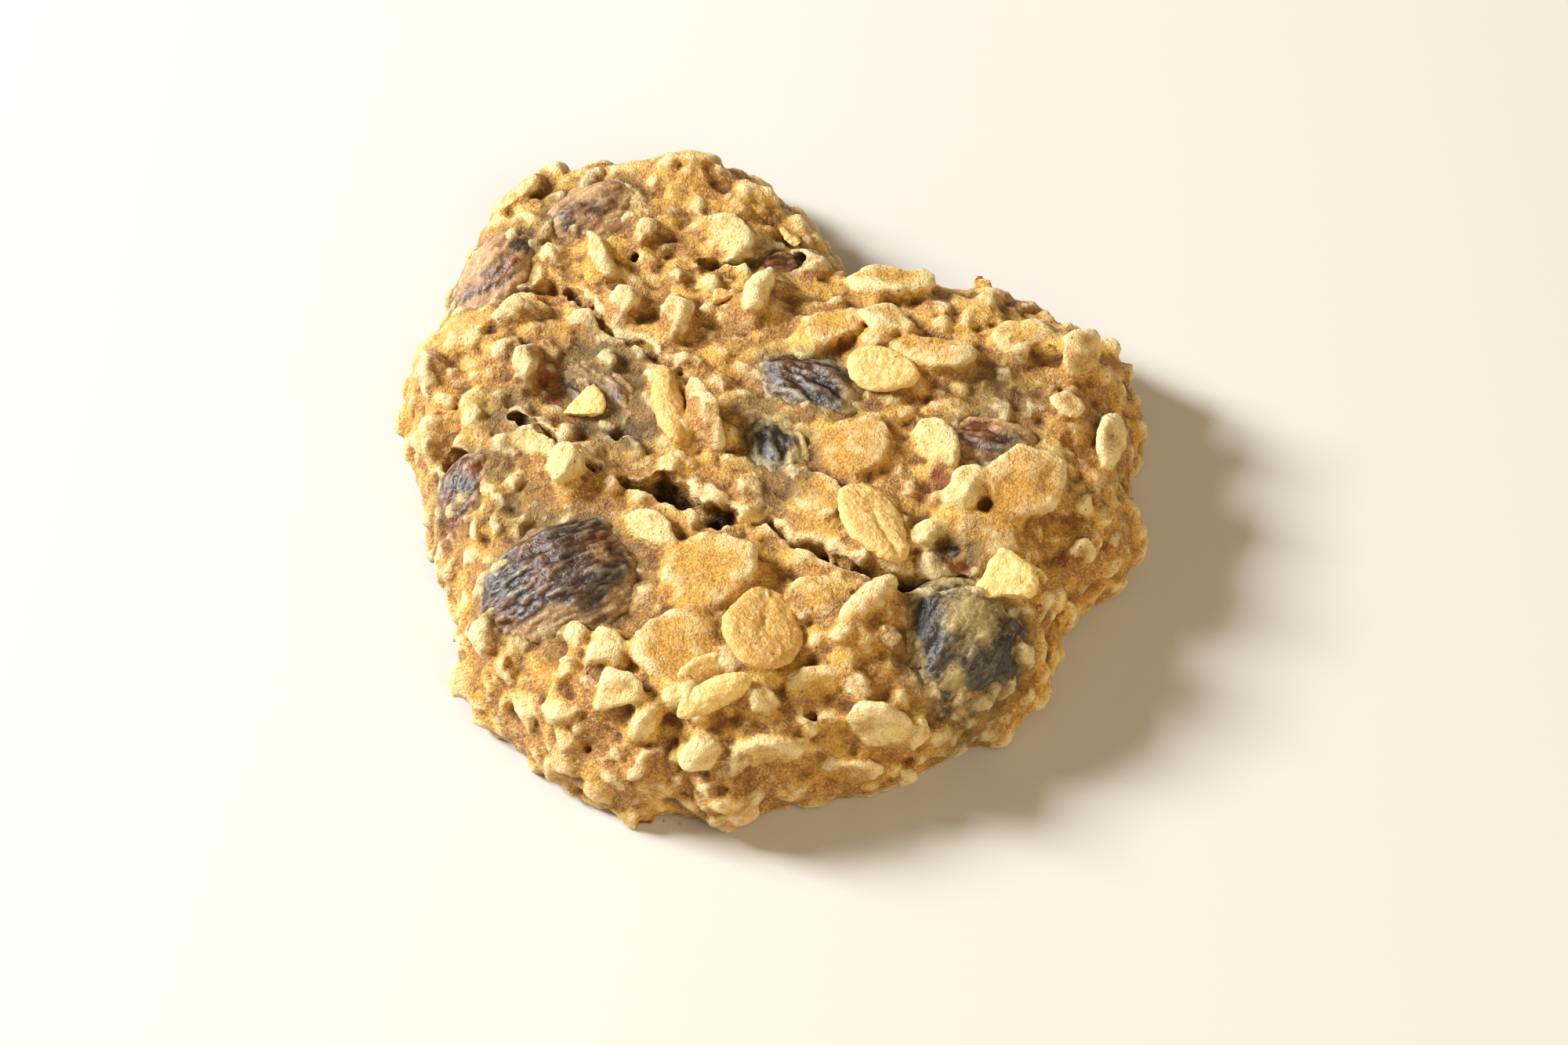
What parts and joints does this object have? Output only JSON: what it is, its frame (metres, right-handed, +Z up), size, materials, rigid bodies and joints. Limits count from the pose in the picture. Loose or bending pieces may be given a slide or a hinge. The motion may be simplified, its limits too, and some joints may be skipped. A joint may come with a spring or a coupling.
{
  "type": "oatmeal raisin cookie",
  "caption": "Hand-shaped heart-like oatmeal cookie with rolled-oat flakes and raisins baked into the crust; lies flat on its base.",
  "frame": {"origin": "middle of the bounding box in plan, on the flat baked base (z = 0)", "axes": "+Z up out of the crust; +Y towards the smaller lobe and the heart's notch; -Y towards the blunt tip; +X to the right seen from the tip's side"},
  "size_m": [0.072, 0.0787, 0.0135],
  "materials": {
    "baked_dough": "matte, slightly moist baked oat dough",
    "raisin_skin": "wrinkled, satin dried-fruit skin"
  },
  "bodies": {
    "root": {"dough": "baked_dough", "raisin_front_left": "raisin_skin", "raisin_front_right": "raisin_skin", "raisin_centre": "raisin_skin", "raisin_centre_low": "raisin_skin", "raisin_right": "raisin_skin", "raisin_lobe_inner": "raisin_skin", "raisin_lobe_outer": "raisin_skin", "raisin_left_rim": "raisin_skin", "raisin_upper_left": "raisin_skin", "raisin_right_small": "raisin_skin", "raisin_notch": "raisin_skin"}
  },
  "joints": []
}
